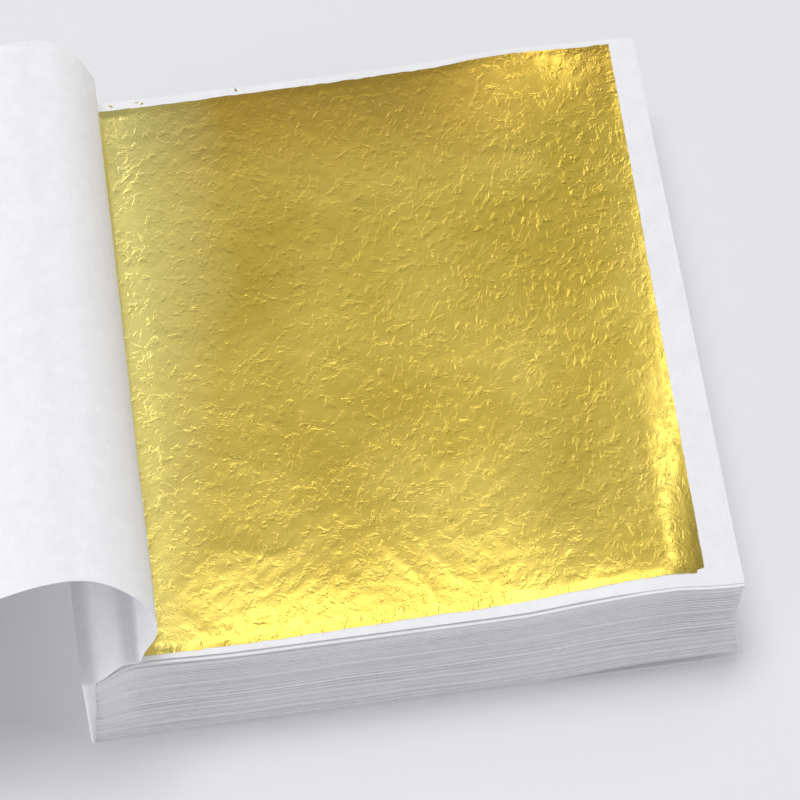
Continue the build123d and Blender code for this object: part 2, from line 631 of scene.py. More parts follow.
@dataclass
class OpenLeaf:
    """The crinkled leaf on the open page."""

    block: Block
    front_left: Pair = (6.1, 0.95)
    front_right: Pair = (83.0, 2.2)
    back_right: Pair = (84.3, 89.2)
    back_left: Pair = (6.1, 88.5)
    grid: float = 0.42
    foil: float = 0.01
    lay: float = 0.02

    # Its left end stays flat over the foot of the page's climb, a little higher
    climb_margin: float = 0.2
    free_lay: float = 0.02
    free_ramp: Pair = (8.0, 2.0)

    # Heights of its crinkles, which are lower at the back, run another way there, and all but
    # end at the left
    wave: float = 0.06
    fold: float = 0.05
    crinkle: float = 0.02
    ripple: float = 0.02
    fold_bend: float = 4.0
    back_ramp: Pair = (8.0, 40.0)
    back_share: float = 0.5
    left_ramp: Pair = (9.5, 3.0)
    left_share: float = 0.15

    # The crinkles fade at its edges, which are slightly ragged
    mean_size: float = 80.0
    edge_width: float = 1.1
    edge_share: float = 0.12
    side_nick: float = 0.05
    end_nick: float = 0.09
    coarse_nick_share: float = 0.8
    nick_share: float = 0.015

    # A narrow strip along the front edge ends short of the right edge
    length: float = 87.0
    strip_width: float = 0.5
    strip_step: float = 0.2
    strip_short: float = 1.1
    strip_power: int = 12

    # It is drawn up beside the turned sheet's foot and puffed up at the right of its back edge
    cling_height: float = 0.3
    cling_rise: float = 1.6
    cling_fall: float = 5.0
    pucker_height: float = 0.25
    pucker_middle: float = 69.0
    pucker_reach: float = 8.0

    def crinkles(self, across: np.ndarray, along: np.ndarray) -> np.ndarray:
        """How far the foil stands off the page.

        Args:
            across: Distances from the spine.
            along: Distances from the front edge.

        Returns:
            Heights, none of them negative.
        """
        wave = 0.5 + 0.5 * SoftNoise(seed=11, cell=17.0, stretch=1.4, turn=20.0).at(across, along)
        bent_across = across + self.fold_bend * SoftNoise(seed=17, cell=19.0).at(across, along)
        bent_along = along + self.fold_bend * SoftNoise(seed=18, cell=19.0).at(across, along)
        bent = (bent_across, bent_along)
        fold = SoftNoise(seed=12, cell=6.0, stretch=1.8, turn=-38.0).ridged(*bent) ** 2
        crinkle = SoftNoise(seed=13, cell=1.9, stretch=1.2, turn=40.0).ridged(*bent) ** 2
        level = SoftNoise(seed=14, cell=0.95, stretch=1.3, turn=12.0).at(*bent)
        steep = SoftNoise(seed=19, cell=0.95, stretch=1.3, turn=68.0).at(*bent)
        front = 1.0 - ramp(along, *self.back_ramp)
        ripple = 0.5 + 0.5 * (level * front + steep * (1 - front))
        fold_share = self.back_share + (1 - self.back_share) * front
        height = self.wave * wave + self.fold * fold * fold_share
        height += self.crinkle * crinkle + self.ripple * ripple * (self.back_share + front)
        return height * (self.left_share + (1 - self.left_share) * ramp(across, *self.left_ramp))

    def cling(self, across: np.ndarray, along: np.ndarray) -> np.ndarray:
        """How far the foil is drawn up where the turned sheet rises beside it.

        Args:
            across: Distances from the spine.
            along: Distances from the front edge.

        Returns:
            Heights.
        """
        block = self.block
        slant = (block.crease_back - block.crease_front) * along / block.page_length
        beyond = across - (block.crease_front + slant)
        fallen = ramp(beyond, self.cling_rise, self.cling_fall)
        return self.cling_height * ramp(beyond, 0.0, self.cling_rise) * (1 - fallen)

    def pucker(self, across: np.ndarray, along: np.ndarray) -> np.ndarray:
        """How far the foil is puffed up by the right of its back edge.

        Args:
            across: Distances from the spine.
            along: Distances from the front edge.

        Returns:
            Heights.
        """
        from_middle = ((across - self.pucker_middle) / self.pucker_reach) ** 2
        from_back = ((along - self.block.page_length) / self.pucker_reach) ** 2
        return self.pucker_height * np.exp(-from_middle - from_back)

    def outline(self, u: np.ndarray, v: np.ndarray) -> tuple[np.ndarray, np.ndarray]:
        """Lay the unit square out as the leaf, with slightly ragged edges.

        Args:
            u: Shares of the way from the spine side to the fore-edge side.
            v: Shares of the way from front to back.

        Returns:
            Distances across the page and distances along it.
        """
        corners = np.array([self.front_left, self.front_right, self.back_right, self.back_left])
        weights = [(1 - u) * (1 - v), u * (1 - v), u * v, (1 - u) * v]
        across = sum(w * c[0] for w, c in zip(weights, corners))
        along = sum(w * c[1] for w, c in zip(weights, corners))
        nick = SoftNoise(seed=15, cell=1.1).at(across, along)
        nick = nick + self.coarse_nick_share * SoftNoise(seed=16, cell=4.0).at(across, along)
        ragged, kept = self.nick_share, 1 - self.nick_share
        across = across + self.side_nick * nick * ramp(u, kept, ragged)
        strip = 1 - ramp(v * self.length, self.strip_width, self.strip_step)
        across = across - self.strip_short * strip * u**self.strip_power
        ends = eased((ragged - v) / ragged) - ramp(v, kept, ragged)
        return across, along + self.end_nick * nick * ends

    def build(self, foil: bpy.types.Material) -> None:
        """Build the leaf.

        Args:
            foil: Its material.
        """
        block = self.block
        rows = int((self.front_right[0] - self.front_left[0]) / self.grid)
        columns = int((self.back_left[1] - self.front_left[1]) / self.grid)
        u, v = np.meshgrid(np.linspace(0, 1, rows), np.linspace(0, 1, columns), indexing="ij")
        across, along = self.outline(u, v)
        flat = np.maximum(across, block.bound_width + block.ramp_width + self.climb_margin)
        low = block.underside(block.open_level, flat, along) + block.paper + self.lay
        to_edge = np.minimum(1 - u, np.minimum(v, 1 - v)) * self.mean_size
        inside = eased(to_edge / self.edge_width)
        crinkled = self.edge_share + (1 - self.edge_share) * inside
        low = low + self.crinkles(across, along) * crinkled
        low = low + self.cling(across, along) * inside + self.pucker(across, along)
        low = low + self.free_lay * (1 - ramp(across, *self.free_ramp))
        slabs = Slabs()
        slabs.add(
            block.place(across, along, low + self.foil), block.place(across, along, low)
        )
        leaf = slabs.build("open_leaf_foil")
        dress(leaf, foil, Slot.LEAF, "open_leaf")
        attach(leaf, Rider.LEAF.value)


@dataclass
class LooseFlecks:
    """A few tiny flecks of foil on the open page's back margin."""

    block: Block
    seed: int = 21
    places: tuple[Pair, ...] = ((13.2, 89.35), (16.9, 89.5), (17.6, 89.2), (31.0, 89.55))
    half_lengths: Pair = (0.25, 0.45)
    half_widths: Pair = (0.08, 0.16)
    taper: float = 0.7
    rows: int = 5
    columns: int = 3
    foil: float = 0.012
    lay: float = 0.01
    crumple: float = 0.03

    def build(self, foil: bpy.types.Material) -> None:
        """Scatter the flecks.

        Args:
            foil: Their material.
        """
        block = self.block
        rng = np.random.default_rng(self.seed)
        ends, sides = np.linspace(-1, 1, self.rows), np.linspace(-1, 1, self.columns)
        u, v = np.meshgrid(ends, sides, indexing="ij")
        slabs = Slabs()
        for across, along in self.places:
            turn = rng.uniform(0, math.pi)
            long, broad = rng.uniform(*self.half_lengths), rng.uniform(*self.half_widths)
            side = (1 - self.taper * u * u) * broad * v
            x = across + long * u * math.cos(turn) - side * math.sin(turn)
            y = along + long * u * math.sin(turn) + side * math.cos(turn)
            low = block.underside(block.open_level, x, y) + block.paper + self.lay
            low = low + self.crumple * rng.random(u.shape)
            slabs.add(block.place(x, y, low + self.foil), block.place(x, y, low))
        flecks = slabs.build("loose_leaf_flecks")
        dress(flecks, foil, Slot.LEAF)
        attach(flecks, Rider.TOP.value)


@dataclass
class TurnedSheet:
    """The sheet that is bound over the open page and rolled back over the spine."""

    block: Block
    leaf: OpenLeaf
    paper: float = 0.08
    top_height: float = 20.32
    spine_top_height: float = 16.28
    climb_width: float = 5.0

    # The model's bands, as shares of the sheet beyond the first crease, and its creases
    front_shares: tuple[float, ...] = (0.114, 0.107, 0.111, 0.104, 0.141, 0.201, 0.222)
    back_shares: tuple[float, ...] = (0.055, 0.102, 0.086, 0.095, 0.162, 0.236, 0.264)
    angles: tuple[float, ...] = (67.0, 40.0, 25.0, 50.0, 20.0, 9.0, 9.0)
    foot_bend: float = 0.7

    # Where the sheet has points: steps in each bend, and shares of the stretches between them
    bend_steps: int = 14
    columns: int = 31
    bound_share: float = 0.6
    climb_points: int = 13
    first_band_share: float = 0.6
    free_shares: tuple[float, ...] = (0.25, 0.5, 0.75, 1.0)

    # It cockles a little, and clears the leaf when it is laid flat
    cockle: float = 0.035
    cockle_ramp: Pair = (12.0, 6.0)
    clearance: float = 0.13
    clearance_width: float = 2.0

    # The reach of the points that crease_zone puts each side of a crease, as shares of the room
    # beside it.
    # The rolled depth is about what lies beyond the first crease.
    foot_zone_share: float = 0.9
    zone_share: float = 0.7
    rolled_depth: float = 78.0

    def flat_line(self, at_front: float, at_back: float) -> tuple[Vector, Vector]:
        """A line across the upper face of the sheet laid flat.

        Args:
            at_front: Its distance from the spine at the front edge.
            at_back: The same at the back edge.

        Returns:
            Its front and back ends.
        """
        half_depth, half_length = self.block.page_depth / 2, self.block.page_length / 2
        return (
            Vector((at_front - half_depth, -half_length, self.top_height)),
            Vector((at_back - half_depth, half_length, self.top_height)),
        )

    def distances(self, front_share: float, back_share: float) -> Pair:
        """Turn shares of the sheet beyond the first crease into distances from the spine.

        Args:
            front_share: The share at the front edge.
            back_share: The share at the back edge.

        Returns:
            The distances there.
        """
        block = self.block
        beyond_front = block.page_depth - block.crease_front
        beyond_back = block.page_depth - block.crease_back
        return (
            block.crease_front + beyond_front * front_share,
            block.crease_back + beyond_back * back_share,
        )

    def turned(self, carry: Matrix, line: tuple[Vector, Vector], angle: float) -> Matrix:
        """Carry the sheet beyond a line on by turning it about the line.

        Args:
            carry: How the line is carried from the flat sheet into the roll.
            line: Its ends on the flat sheet.
            angle: How far the sheet turns.

        Returns:
            How what lies beyond the line is carried.
        """
        to_line = Matrix.Translation(line[0])
        bend = Matrix.Rotation(-math.radians(angle), 4, line[1] - line[0])
        return carry @ to_line @ bend @ to_line.inverted()

    def crease(self, number: int) -> tuple[Vector, Vector]:
        """One of the model's creases on the flat sheet.

        Args:
            number: Its number, from 1 at the foot of the roll.

        Returns:
            Its front and back ends.
        """
        before = slice(number - 1)
        shares = sum(self.front_shares[before]), sum(self.back_shares[before])
        return self.flat_line(*self.distances(*shares))

    def band_carries(self) -> list[Matrix]:
        """How each of the model's bands is carried from the flat sheet into the roll.

        Returns:
            A matrix for the root and one for each band.
        """
        carries = [Matrix.Identity(4)]
        for number, angle in enumerate(self.angles, 1):
            carries.append(self.turned(carries[-1], self.crease(number), angle))
        return carries

    def stations(self) -> list[tuple[float, float, float, int, int | None]]:
        """Lines across the flat sheet, from the first crease to the free edge.

        Returns:
            For each line its distance from the spine at the front and at the back, how far
            the sheet turns there, the number of the piece that ends there, or 0, and the
            number of the model's band that it lies in, or None where the sheet bends.
        """
        steps = self.bend_steps
        first_front, first_back = self.block.crease_front, self.block.crease_back
        lines = [(first_front - self.foot_bend, first_back - self.foot_bend, 0.0, 0, 0)]
        for step in range(steps):
            offset = self.foot_bend * (2 * (step + 0.5) / steps - 1)
            turn = self.angles[0] / steps
            lines.append((first_front + offset, first_back + offset, turn, 0, None))
        front = np.concatenate([[0.0], np.cumsum(self.front_shares)])
        back = np.concatenate([[0.0], np.cumsum(self.back_shares)])
        middles = list(zip((front[:-1] + front[1:]) / 2, (back[:-1] + back[1:]) / 2))

        def line(front_share: float, back_share: float, turn: float, *marks: int | None) -> None:
            """Add a line at these shares of the sheet beyond the first crease."""
            lines.append((*self.distances(front_share, back_share), turn, *marks))

        f0, b0 = middles[0]
        line(f0 * self.first_band_share, b0 * self.first_band_share, 0.0, 0, 1)
        line(f0, b0, 0.0, 1, 1)
        for number in range(1, len(self.angles)):
            (f0, b0), (f1, b1) = middles[number - 1], middles[number]
            for step in range(steps):
                t = (step + 0.5) / steps
                line(f0 + (f1 - f0) * t, b0 + (b1 - b0) * t, self.angles[number] / steps, 0, None)
            last = number == len(self.angles) - 1
            line(f1, b1, 0.0, 0 if last else number + 1, number + 1)
        f0, b0 = middles[-1]
        for t in self.free_shares:
            ends = len(self.angles) if t == 1.0 else 0
            line(f0 + (1 - f0) * t, b0 + (1 - b0) * t, 0.0, ends, len(self.angles))
        return lines

    def foot(self) -> tuple[np.ndarray, np.ndarray]:
        """The sheet's profile from the spine to the bend at the foot of the roll.

        Returns:
            Distances from the spine, and heights of the upper face.
        """
        bound = self.block.bound_width
        climb = np.linspace(bound, bound + self.climb_width, self.climb_points)
        across = np.concatenate([[0.0, bound * self.bound_share], climb])
        rise = self.top_height - self.spine_top_height
        return across, self.spine_top_height + rise * ramp(across, bound, self.climb_width)

    def rolled(self) -> tuple[np.ndarray, np.ndarray, list[int], list[Pair]]:
        """Climb from the spine and roll the sheet up, line by line.

        Returns:
            The front and back ends of each line, the sheet's upward normals there, the number
            of the piece that ends there, or 0, and its distances from the spine on the flat
            sheet. The lines that lie in the model's bands are where the model has them.
        """
        half = self.block.page_length / 2
        rows, ups, ends, flat = [], [], [], []
        foot_across, foot_heights = self.foot()
        slopes = np.gradient(foot_heights, foot_across)
        for across, height, slope in zip(foot_across, foot_heights, slopes):
            x = across - self.block.page_depth / 2
            rows.append((Vector((x, -half, height)), Vector((x, half, height))))
            ups.append(Vector((-slope, 0, 1)).normalized())
            ends.append(0)
            flat.append((across, across))
        carry, bands = Matrix.Identity(4), self.band_carries()
        anchors, misses = [len(rows) - 1], [np.zeros((2, 3))]
        for at_front, at_back, turn, end, band in self.stations():
            line = self.flat_line(at_front, at_back)
            before = carry.to_3x3() @ Vector((0, 0, 1))
            if turn:
                carry = self.turned(carry, line, turn)
            after = carry.to_3x3() @ Vector((0, 0, 1))
            if band is not None:
                anchors.append(len(rows))
                misses.append(np.array([bands[band] @ p - carry @ p for p in line]))
            rows.append((carry @ line[0], carry @ line[1]))
            ups.append((before + after).normalized())
            ends.append(end)
            flat.append((at_front, at_back))
        lines = np.array(rows) + self.spread(np.array(anchors), np.array(misses), len(rows))
        return lines, np.array([list(up) for up in ups]), ends, flat

    def spread(self, anchors: np.ndarray, misses: np.ndarray, count: int) -> np.ndarray:
        """Share out the misses of some lines among the lines between them.

        Args:
            anchors: Indices of the lines whose misses are known.
            misses: Their misses at the front and at the back.
            count: How many lines there are.

        Returns:
            The misses of all lines.
        """
        index = np.arange(count)
        after = np.clip(np.searchsorted(anchors, index), 1, len(anchors) - 1)
        first, last = anchors[after - 1], anchors[after]
        share = eased((index - first) / (last - first))[:, None, None]
        return misses[after - 1] * (1 - share) + misses[after] * share

    def rise(self, across: np.ndarray, along: np.ndarray) -> np.ndarray:
        """How far the sheet stands over its even height, so that it clears the leaf laid flat.

        Args:
            across: Distances from the spine, along the flat sheet.
            along: Distances from the front edge.

        Returns:
            Heights, none of them negative.
        """
        start = self.block.crease_front - self.foot_bend
        clear = self.clearance * ramp(across, start, self.clearance_width)
        raised = np.maximum(self.block.top_swell(across, along), 0)
        return clear + raised + self.leaf.cling(across, along) + self.leaf.pucker(across, along)

    def build(self, tissue: bpy.types.Material) -> None:
        """Build the sheet in pieces, each of which bends over one crease.

        Args:
            tissue: Its material.
        """
        lines, ups, ends, flat = self.rolled()
        share = np.linspace(0, 1, self.columns)
        part = share[None, :, None]
        grid = lines[:, :1] * (1 - part) + lines[:, 1:] * part
        upward = np.repeat(ups[:, None, :], self.columns, axis=1)
        steps = np.linalg.norm(np.diff(grid.mean(axis=1), axis=0), axis=1)
        length = np.concatenate([[0.0], np.cumsum(steps)])
        out, on = np.meshgrid(length, share * self.block.page_length, indexing="ij")
        noise = SoftNoise(seed=31, cell=12.0, stretch=1.3, turn=25.0)
        cockle = self.cockle * noise.at(out, on) * ramp(out, *self.cockle_ramp)
        flat_across = np.array([f * (1 - share) + b * share for f, b in flat])
        grid = grid + upward * (cockle + self.rise(flat_across, on))[..., None]
        normals = np.cross(np.gradient(grid, axis=0), np.gradient(grid, axis=1))
        normals = normals / np.linalg.norm(normals, axis=2, keepdims=True)
        lower = grid - upward * self.paper
        begins = 0
        for index, number in enumerate(ends):
            if number:
                piece = slice(begins, index + 1)
                self.add_piece(number, grid[piece], lower[piece], normals[piece], tissue)
                begins = index

    def add_piece(
        self,
        number: int,
        upper: np.ndarray,
        lower: np.ndarray,
        upward: np.ndarray,
        tissue: bpy.types.Material,
    ) -> None:
        """Make one piece of the sheet, which spans its crease.

        Args:
            number: The number of its crease.
            upper: Points of its upper face.
            lower: Points of its lower face.
            upward: Normals of its upper face.
            tissue: Its material.
        """
        slabs = Slabs()
        slabs.add(upper, lower)
        slabs.add_normals(upward)
        names = ["turned_sheet_root"] if number == 1 else []
        names.append(f"turned_sheet_band_{number:02d}")
        piece = slabs.build(f"turned_sheet_curl_{number:02d}" if number > 1 else "turned_sheet_foot")
        dress(piece, tissue, Slot.TISSUE, *names)
        start, end = self.crease_zone(number)
        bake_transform(piece)

    def crease_zone(self, number: int) -> tuple[Vector, Vector]:
        """Where a piece begins and ends its bend.

        Args:
            number: Its crease.

        Returns:
            Two points in metres, one each side of the crease, level with its middle.
        """
        carries = self.band_carries()
        front, back = (carries[number - 1] @ end for end in self.crease(number))
        before, after = (
            carries[band].to_3x3() @ Vector((0, 0, 1)) for band in (number - 1, number)
        )
        middle = (front + back) / 2
        normal = (before + after).normalized()
        onward = (back - front).cross(normal).normalized()
        if number == 1:
            reach = self.foot_bend * self.foot_zone_share
        else:
            beside = slice(number - 2, number)
            least = min(self.back_shares[beside] + self.front_shares[beside])
            reach = least * self.rolled_depth / 2 * self.zone_share
        return (middle - onward * reach) * MM, (middle + onward * reach) * MM


@dataclass
class SpineGlue:
    """The film of padding glue over the spine, which laps round its ends."""

    block: Block
    film: float = 0.35
    top: float = 16.28
    columns: int = 46
    end_margin: float = 0.4

    # The laps are wider towards the top, and their width wanders with the height. They have
    # points at shares of it, from their rim to the corner.
    lap_low: float = 0.4
    lap_high: float = 1.5
    lap_wander: float = 0.18
    wander_rate: float = 2.0
    wander_row: float = 5.0
    lap_film: float = 0.16
    rim_film: float = 0.02
    lap_shares: tuple[float, ...] = (1.0, 0.66, 0.33, 0.0)
    film_shares: tuple[float, ...] = (0.6, 1.0, 1.0)
    inner_share: float = 0.1
    corner_share: float = 0.7

    # Its lumps, and its three parts with the scores between them
    lumps: float = 0.05
    lump_shift: float = 50.0
    score: float = 0.03
    cuts: tuple[float, ...] = (0.0, 12.94, 14.54, 16.28)
    rows: tuple[int, ...] = (25, 4, 4)

    def path(self, height: float) -> tuple[np.ndarray, np.ndarray]:
        """The film's outer and inner outlines at a height.

        Args:
            height: Height over the table.

        Returns:
            Two rows of points, round the spine from the front face to the back face.
        """
        depth, length = self.block.page_depth / 2, self.block.page_length / 2
        wander = SoftNoise(seed=41, cell=3.0).at(height * self.wander_rate, self.wander_row)
        reach = self.lap_low + (self.lap_high - self.lap_low) * (height / self.top)
        reach = reach + self.lap_wander * wander
        stations = [reach * share for share in self.lap_shares]
        films = [self.rim_film] + [self.lap_film * share for share in self.film_shares]
        outer = [(-depth + s, -length - t) for s, t in zip(stations, films)]
        corner = self.corner_share
        outer.append((-depth - self.film * corner, -length - self.lap_film * corner))
        inner = [(-depth + max(s, reach * self.inner_share), -length) for s in stations]
        inner.append((-depth, -length))
        along = np.linspace(-length + self.end_margin, length - self.end_margin, self.columns)
        lumps = SoftNoise(seed=42, cell=4.0).at(height, along + self.lump_shift)
        middles = (
            [(-depth - self.film + self.lumps * lump, y) for lump, y in zip(lumps, along)],
            [(-depth, y) for y in along],
        )
        outlines = []
        for end, middle in zip((outer, inner), middles):
            round_spine = np.array(end + middle + [(x, -y) for x, y in end[::-1]])
            lift = np.full(len(round_spine), height)
            outlines.append(np.column_stack([round_spine, lift]))
        return outlines[0], outlines[1]

    def build(self, glue: bpy.types.Material) -> None:
        """Build the film's three parts, one for each body that it holds.

        Args:
            glue: Its material.
        """
        parts = (("lower", Rider.LOWER), ("upper", Rider.UPPER), ("top", Rider.TOP))
        for index, (name, rider) in enumerate(parts):
            low = self.cuts[index] + (self.score if index else 0)
            high = self.cuts[index + 1] - (self.score if index < len(parts) - 1 else 0)
            outlines = [self.path(height) for height in np.linspace(low, high, self.rows[index])]
            outer = np.array([outline[0] for outline in outlines])
            inner = np.array([outline[1] for outline in outlines])
            slabs = Slabs()
            slabs.add(outer[::-1], inner[::-1])
            film = slabs.build(f"spine_glue_{name}_film")
            dress(film, glue, Slot.GLUE, f"spine_glue_{name}")
            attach(film, rider.value)


def new_group(
    name: str, amount: str, *results: str
) -> tuple[bpy.types.NodeTree, bpy.types.Node, bpy.types.Node]:
    """Start a node group that reads a place and an amount.

    Args:
        name: Its name.
        amount: The amount's name.
        results: The names of the values that it puts out.

    Returns:
        The group, its input node and its output node.
    """
    tree = bpy.data.node_groups.new(name, "ShaderNodeTree")
    sockets = tree.interface
    sockets.new_socket(name="Vector", in_out="INPUT", socket_type="NodeSocketVector")
    socket = sockets.new_socket(name=amount, in_out="INPUT", socket_type="NodeSocketFloat")
    socket.default_value = 1.0
    for result in results:
        sockets.new_socket(name=result, in_out="OUTPUT", socket_type="NodeSocketFloat")
    return tree, tree.nodes.new("NodeGroupInput"), tree.nodes.new("NodeGroupOutput")


def placed_group(
    tree: bpy.types.NodeTree,
    group: bpy.types.NodeTree,
    place: bpy.types.NodeSocket,
    amount: str,
    value: float,
) -> bpy.types.Node:
    """Place a node group in a material.

    Args:
        tree: The material's tree.
        group: The group.
        place: Where it is read.
        amount: The name of its amount.
        value: The amount.

    Returns:
        The node.
    """
    node = tree.nodes.new("ShaderNodeGroup")
    node.node_tree = group
    node.inputs[amount].default_value = value
    tree.links.new(place, node.inputs["Vector"])
    return node


def noise_node(
    tree: bpy.types.NodeTree, vector: bpy.types.NodeSocket, scale: float, detail: float
) -> bpy.types.Node:
    """Add a noise texture.

    Args:
        tree: The tree that it goes into.
        vector: Where it is read.
        scale: Cells in a metre.
        detail: Octaves.

    Returns:
        The node.
    """
    node = tree.nodes.new("ShaderNodeTexNoise")
    node.inputs["Scale"].default_value = scale
    node.inputs["Detail"].default_value = detail
    tree.links.new(vector, node.inputs["Vector"])
    return node


def math_node(
    tree: bpy.types.NodeTree,
    operation: str,
    *values: bpy.types.NodeSocket | float | Colour | None,
    kind: str = "ShaderNodeMath",
) -> bpy.types.NodeSocket:
    """Add a sum on numbers or on vectors.

    Args:
        tree: The tree that it goes into.
        operation: Blender's name for it.
        values: What its sockets get in turn: a link, a number or vector, or None for nothing.
        kind: The node's type, for numbers or for vectors.

    Returns:
        The result's socket.
    """
    node = tree.nodes.new(kind)
    node.operation = operation
    for socket, value in zip(node.inputs, values):
        if isinstance(value, bpy.types.NodeSocket):
            tree.links.new(value, socket)
        elif value is not None:
            socket.default_value = value
    return node.outputs[0]


def ranged(
    tree: bpy.types.NodeTree, value: bpy.types.NodeSocket, given: Pair, wanted: Pair = (0.0, 1.0)
) -> bpy.types.NodeSocket:
    """Map a value from one range to another, held at its ends.

    Args:
        tree: The tree that it goes into.
        value: The value.
        given: The range that it is given in.
        wanted: The range that it is wanted in.

    Returns:
        The result's socket.
    """
    node = tree.nodes.new("ShaderNodeMapRange")
    for name, end in zip(("From Min", "From Max", "To Min", "To Max"), (*given, *wanted)):
        node.inputs[name].default_value = end
    tree.links.new(value, node.inputs["Value"])
    return node.outputs[0]


def mixed_colour(
    tree: bpy.types.NodeTree,
    share: bpy.types.NodeSocket,
    low: bpy.types.NodeSocket | Colour,
    high: Colour,
) -> bpy.types.NodeSocket:
    """Mix two colours.

    Args:
        tree: The tree that it goes into.
        share: How much of the second colour there is.
        low: The first colour.
        high: The second colour.

    Returns:
        The colour's socket.
    """
    mix = tree.nodes.new("ShaderNodeMix")
    mix.data_type = "RGBA"
    first, second = mix.inputs[6], mix.inputs[7]
    if isinstance(low, bpy.types.NodeSocket):
        tree.links.new(low, first)
    else:
        first.default_value = (*low, 1.0)
    second.default_value = (*high, 1.0)
    tree.links.new(share, mix.inputs[0])
    return mix.outputs[2]


def bumped(
    tree: bpy.types.NodeTree,
    shader: bpy.types.Node,
    height: bpy.types.NodeSocket,
    strength: float,
    distance: float,
) -> None:
    """Give a shader a bump.

    Args:
        tree: Its tree.
        shader: The shader.
        height: Heights from 0 to 1.
        strength: How strongly they show.
        distance: How high 1 stands, in millimetres.
    """
    bump = tree.nodes.new("ShaderNodeBump")
    bump.inputs["Strength"].default_value = strength
    bump.inputs["Distance"].default_value = distance * MM
    tree.links.new(height, bump.inputs["Height"])
    tree.links.new(bump.outputs[0], shader.inputs["Normal"])


def new_material(name: str) -> tuple[bpy.types.NodeTree, bpy.types.Node, bpy.types.NodeSocket]:
    """Start a material.

    Args:
        name: Its name.

    Returns:
        Its tree, its shader and the socket with the place on the object.
    """
    material = bpy.data.materials.new(name)
    material.use_nodes = True
    tree = material.node_tree
    shader = tree.nodes["Principled BSDF"]
    place = tree.nodes.new("ShaderNodeTexCoord")
    return tree, shader, place.outputs["Object"]


@dataclass(frozen=True)
class FibreCloud:
    """The cloudy look and tooth of soft paper, shared by tissue and glue.

    Each noise is given by its cells in a metre and its octaves.
    """

    name: str = "fibre_cloud"
    clouds: Pair = (420.0, 4.0)
    fibres: Pair = (3400.0, 3.0)
    tooth: Pair = (5200.0, 2.0)
    fibre_stretch: tuple[float, float, float] = (1.0, 0.22, 1.0)
    cloud_share: float = 0.55
    cloud_fibre_share: float = 0.45
    tooth_share: float = 0.4
    tooth_fibre_share: float = 0.6

    def group(self) -> bpy.types.NodeTree:
        """Build the node group, or find it where it is already built.

        Returns:
            The group.
        """
        if self.name in bpy.data.node_groups:
            return bpy.data.node_groups[self.name]
        tree, given, made = new_group(self.name, "Coarseness", "Cloud", "Height")
        vector, kind = given.outputs["Vector"], "ShaderNodeVectorMath"
        coarseness = given.outputs["Coarseness"]
        scaled = math_node(tree, "SCALE", vector, None, None, coarseness, kind=kind)
        clouds = noise_node(tree, scaled, *self.clouds).outputs[0]
        stretched = math_node(tree, "MULTIPLY", scaled, self.fibre_stretch, kind=kind)
        fibres = noise_node(tree, stretched, *self.fibres).outputs[0]
        tooth = noise_node(tree, scaled, *self.tooth).outputs[0]
        cloud = math_node(tree, "MULTIPLY_ADD", fibres, self.cloud_fibre_share, 0.0)
        cloud = math_node(tree, "MULTIPLY_ADD", clouds, self.cloud_share, cloud)
        height = math_node(tree, "MULTIPLY_ADD", tooth, self.tooth_share, 0.0)
        height = math_node(tree, "MULTIPLY_ADD", fibres, self.tooth_fibre_share, height)
        tree.links.new(cloud, made.inputs["Cloud"])
        tree.links.new(height, made.inputs["Height"])
        return tree


@dataclass(frozen=True)
class FoilCrinkle:
    """The finest crinkles of beaten foil and its broad changes of tone, shared by the leaves.

    Each noise is given by its cells in a metre and its octaves.
    """

    name: str = "foil_crinkle"
    bends: Pair = (130.0, 2.0)
    bend: float = 3.5
    stretch: tuple[float, float, float] = (1.0, 0.75, 1.0)
    crinkles: Pair = (1000.0, 3.0)
    roughness: float = 0.6
    middle: float = 0.5
    tones: Pair = (45.0, 3.0)

    def group(self) -> bpy.types.NodeTree:
        """Build the node group, or find it where it is already built.

        Returns:
            The group.
        """
        if self.name in bpy.data.node_groups:
            return bpy.data.node_groups[self.name]
        tree, given, made = new_group(self.name, "Sharpness", "Height", "Tone")
        vector, kind = given.outputs["Vector"], "ShaderNodeVectorMath"
        bends = noise_node(tree, vector, *self.bends).outputs["Color"]
        flat = (self.bend * MM, self.bend * MM, 0.0)
        bent = math_node(tree, "MULTIPLY_ADD", bends, flat, vector, kind=kind)
        stretched = math_node(tree, "MULTIPLY", bent, self.stretch, kind=kind)
        fine = noise_node(tree, stretched, *self.crinkles)
        fine.inputs["Roughness"].default_value = self.roughness
        ridge = math_node(tree, "SUBTRACT", fine.outputs[0], self.middle)
        ridge = math_node(tree, "ABSOLUTE", ridge)
        ridge = math_node(tree, "MULTIPLY", ridge, given.outputs["Sharpness"])
        height = math_node(tree, "SUBTRACT", fine.outputs[0], ridge)
        tones = noise_node(tree, vector, *self.tones).outputs[0]
        tree.links.new(height, made.inputs["Height"])
        tree.links.new(tones, made.inputs["Tone"])
        return tree


@dataclass(frozen=True)
class TissueFinish:
    """Thin soft paper, cloudy and faintly blue."""

    name: str = "tissue_paper"
    thin: Colour = (0.83, 0.83, 0.855)
    thick: Colour = (0.89, 0.89, 0.905)
    roughness: float = 0.7
    shine: float = 0.3
    coarseness: float = 1.0
    tooth: float = 0.35
    tooth_height: float = 0.02

    def build(self) -> bpy.types.Material:
        """Make the material.

        Returns:
            The material.
        """
        tree, shader, place = new_material(self.name)
        fibre = placed_group(tree, FibreCloud().group(), place, "Coarseness", self.coarseness)
        cloud = ranged(tree, fibre.outputs["Cloud"], TONES)
        colour = mixed_colour(tree, cloud, self.thin, self.thick)
        tree.links.new(colour, shader.inputs["Base Color"])
        shader.inputs["Roughness"].default_value = self.roughness
        shader.inputs["Specular IOR Level"].default_value = self.shine
        bumped(tree, shader, fibre.outputs["Height"], self.tooth, self.tooth_height)
        return bpy.data.materials[self.name]


